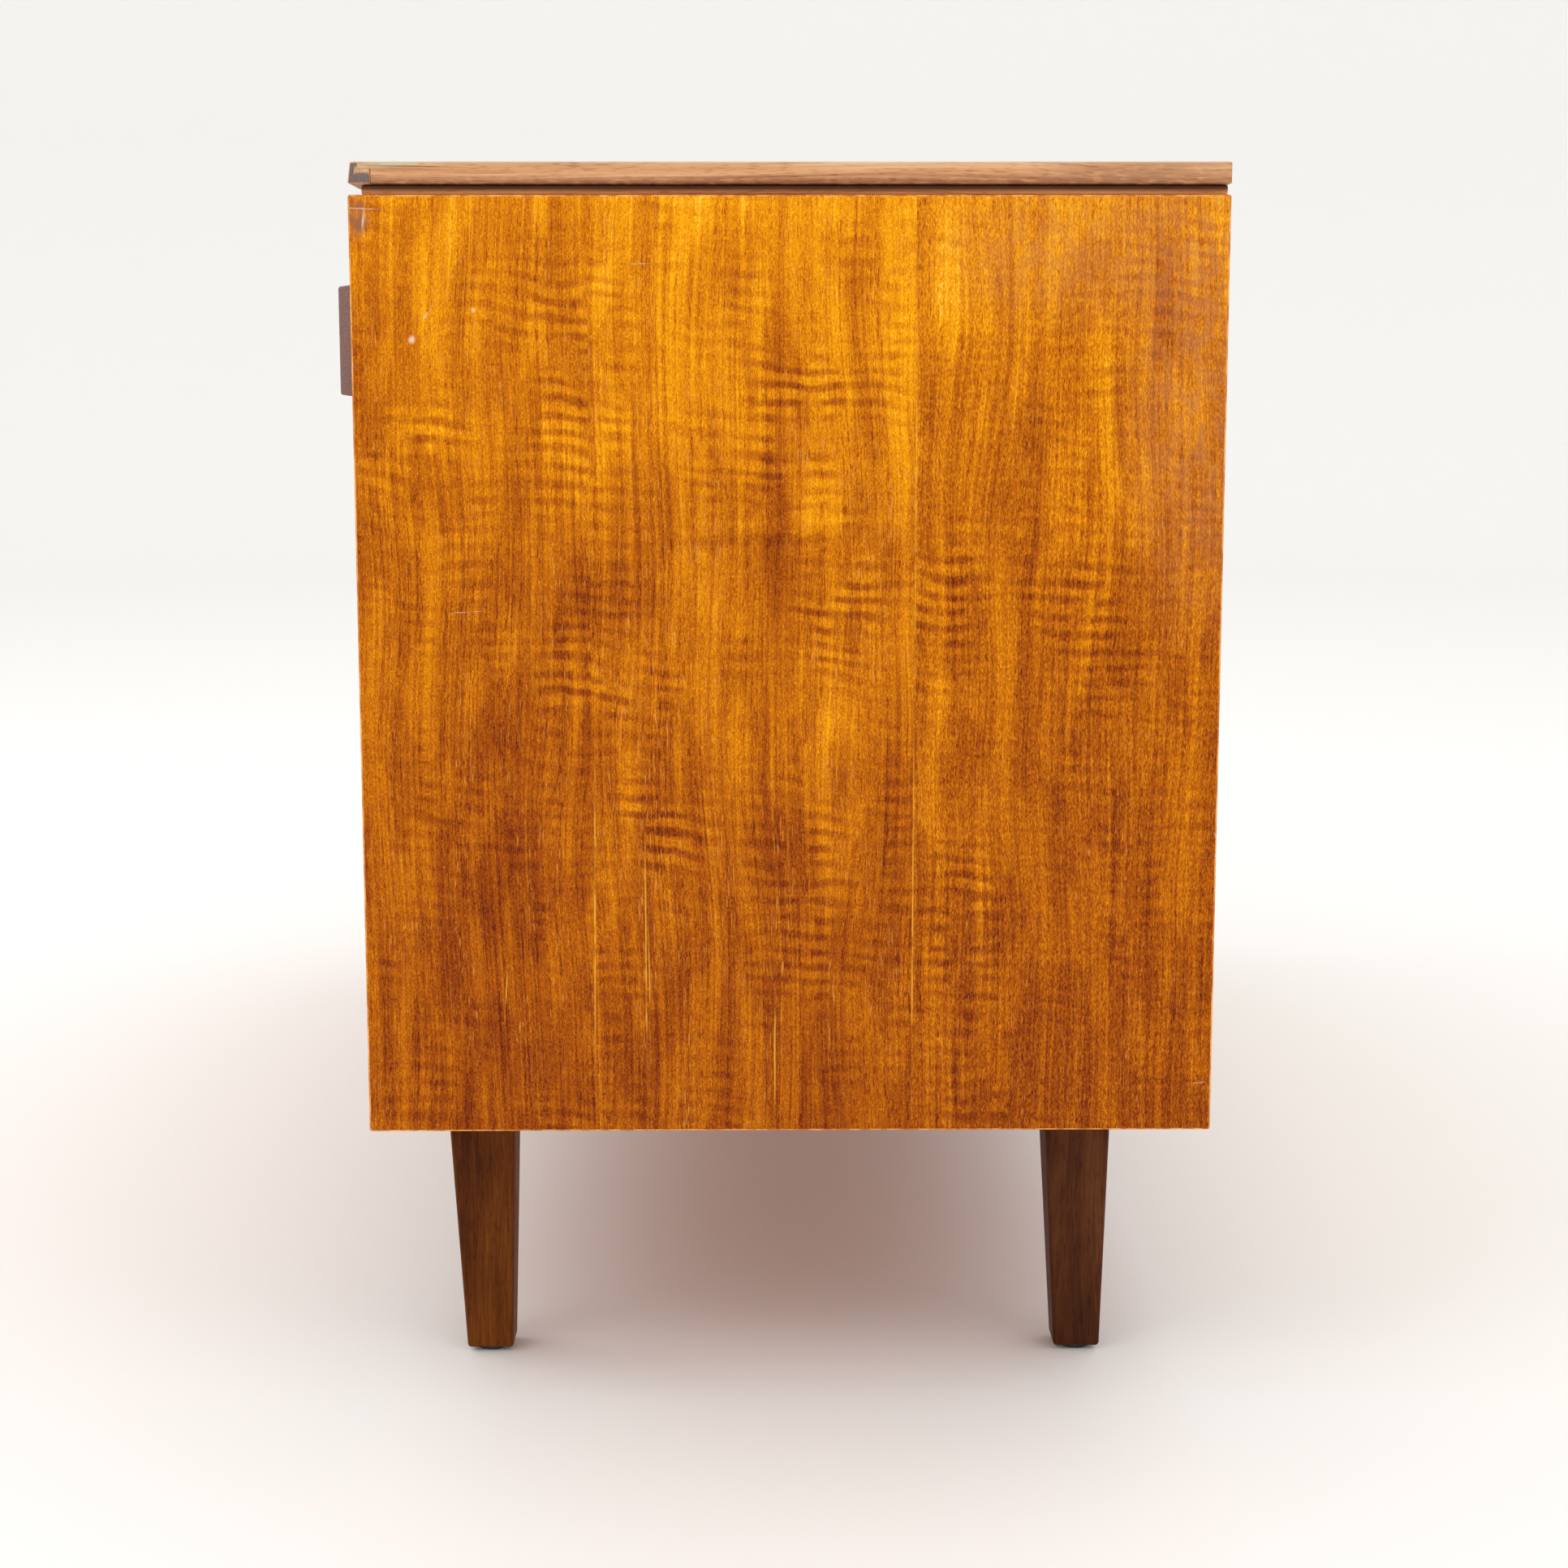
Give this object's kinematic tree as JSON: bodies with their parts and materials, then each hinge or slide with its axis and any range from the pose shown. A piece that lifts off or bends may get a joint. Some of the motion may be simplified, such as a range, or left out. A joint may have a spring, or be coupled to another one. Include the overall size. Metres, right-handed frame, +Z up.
{
  "type": "sideboard buffet",
  "caption": "Long veneered sideboard buffet on tapered legs, with drawers over cupboards, block pulls and a thin floating top over a shadow gap.",
  "frame": {"origin": "on the floor, under the middle of the whole object's box", "axes": "+X along the length, to the right of someone facing the front; +Y from the front to the back; +Z up"},
  "size_m": [1.372, 0.5534, 0.762],
  "materials": {
    "figured_veneer": "golden ripple-figured veneer under a satin lacquer",
    "top_veneer": "brown straight-grained veneer under a satin lacquer",
    "walnut_lipping": "oiled solid walnut, slightly worn",
    "walnut_leg": "dark stained solid walnut, satin",
    "walnut_pull": "weathered grey-brown solid walnut, satin",
    "drawer_lining": "pale sealed solid wood",
    "plywood": "plain plywood, matt",
    "brass": "drawn, slightly dull",
    "glide_plastic": "dark moulded plastic"
  },
  "bodies": {
    "carcass": {"top_board": "top_veneer", "top_lipping_front": "walnut_lipping", "top_lipping_left": "walnut_lipping", "top_lipping_right": "walnut_lipping", "spacer_front": "walnut_lipping", "spacer_rear": "walnut_lipping", "spacer_left": "walnut_lipping", "spacer_right": "walnut_lipping", "end_panel_left": "figured_veneer", "end_panel_right": "figured_veneer", "carcass_bottom": "figured_veneer", "carcass_top": "figured_veneer", "divider_left": "figured_veneer", "divider_right": "figured_veneer", "back_panel": "plywood", "drawer_shelf_left": "figured_veneer", "drawer_shelf_centre": "figured_veneer", "drawer_shelf_right": "figured_veneer", "cupboard_shelf_left": "figured_veneer", "cupboard_shelf_centre": "figured_veneer", "cupboard_shelf_right": "figured_veneer", "leg_front_left": "walnut_leg", "leg_front_right": "walnut_leg", "leg_rear_left": "walnut_leg", "leg_rear_right": "walnut_leg", "glide_front_left": "glide_plastic", "glide_front_right": "glide_plastic", "glide_rear_left": "glide_plastic", "glide_rear_right": "glide_plastic", "door_left_pin_lower": "brass", "door_left_pin_upper": "brass", "door_centre_pin_lower": "brass", "door_centre_pin_upper": "brass", "door_right_pin_lower": "brass", "door_right_pin_upper": "brass"},
    "drawer_left": {"drawer_left_front": "figured_veneer", "drawer_left_side_left": "drawer_lining", "drawer_left_side_right": "drawer_lining", "drawer_left_back": "drawer_lining", "drawer_left_bottom": "plywood", "drawer_left_pull": "walnut_pull"},
    "drawer_centre": {"drawer_centre_front": "figured_veneer", "drawer_centre_side_left": "drawer_lining", "drawer_centre_side_right": "drawer_lining", "drawer_centre_back": "drawer_lining", "drawer_centre_bottom": "plywood", "drawer_centre_pull": "walnut_pull"},
    "drawer_right": {"drawer_right_front": "figured_veneer", "drawer_right_side_left": "drawer_lining", "drawer_right_side_right": "drawer_lining", "drawer_right_back": "drawer_lining", "drawer_right_bottom": "plywood", "drawer_right_pull": "walnut_pull"},
    "door_left": {"door_left_panel": "figured_veneer", "door_left_pull": "walnut_pull"},
    "door_centre": {"door_centre_panel": "figured_veneer", "door_centre_pull": "walnut_pull"},
    "door_right": {"door_right_panel": "figured_veneer", "door_right_pull": "walnut_pull"}
  },
  "joints": [
    {"name": "drawer_left_slide", "type": "slide", "parent": "carcass", "child": "drawer_left", "axis": [0, -1, 0], "range_m": [0, 0.36]},
    {"name": "drawer_centre_slide", "type": "slide", "parent": "carcass", "child": "drawer_centre", "axis": [0, -1, 0], "range_m": [0, 0.36]},
    {"name": "drawer_right_slide", "type": "slide", "parent": "carcass", "child": "drawer_right", "axis": [0, -1, 0], "range_m": [0, 0.36]},
    {"name": "door_left_hinge", "type": "hinge", "parent": "carcass", "child": "door_left", "pos_m": [-0.6554, -0.2368, 0.3784], "axis": [0, 0, -1], "range_deg": [0, 105]},
    {"name": "door_centre_hinge", "type": "hinge", "parent": "carcass", "child": "door_centre", "pos_m": [-0.20473, -0.2368, 0.3784], "axis": [0, 0, -1], "range_deg": [0, 105]},
    {"name": "door_right_hinge", "type": "hinge", "parent": "carcass", "child": "door_right", "pos_m": [0.6554, -0.2368, 0.3784], "axis": [0, 0, 1], "range_deg": [0, 105]}
  ]
}
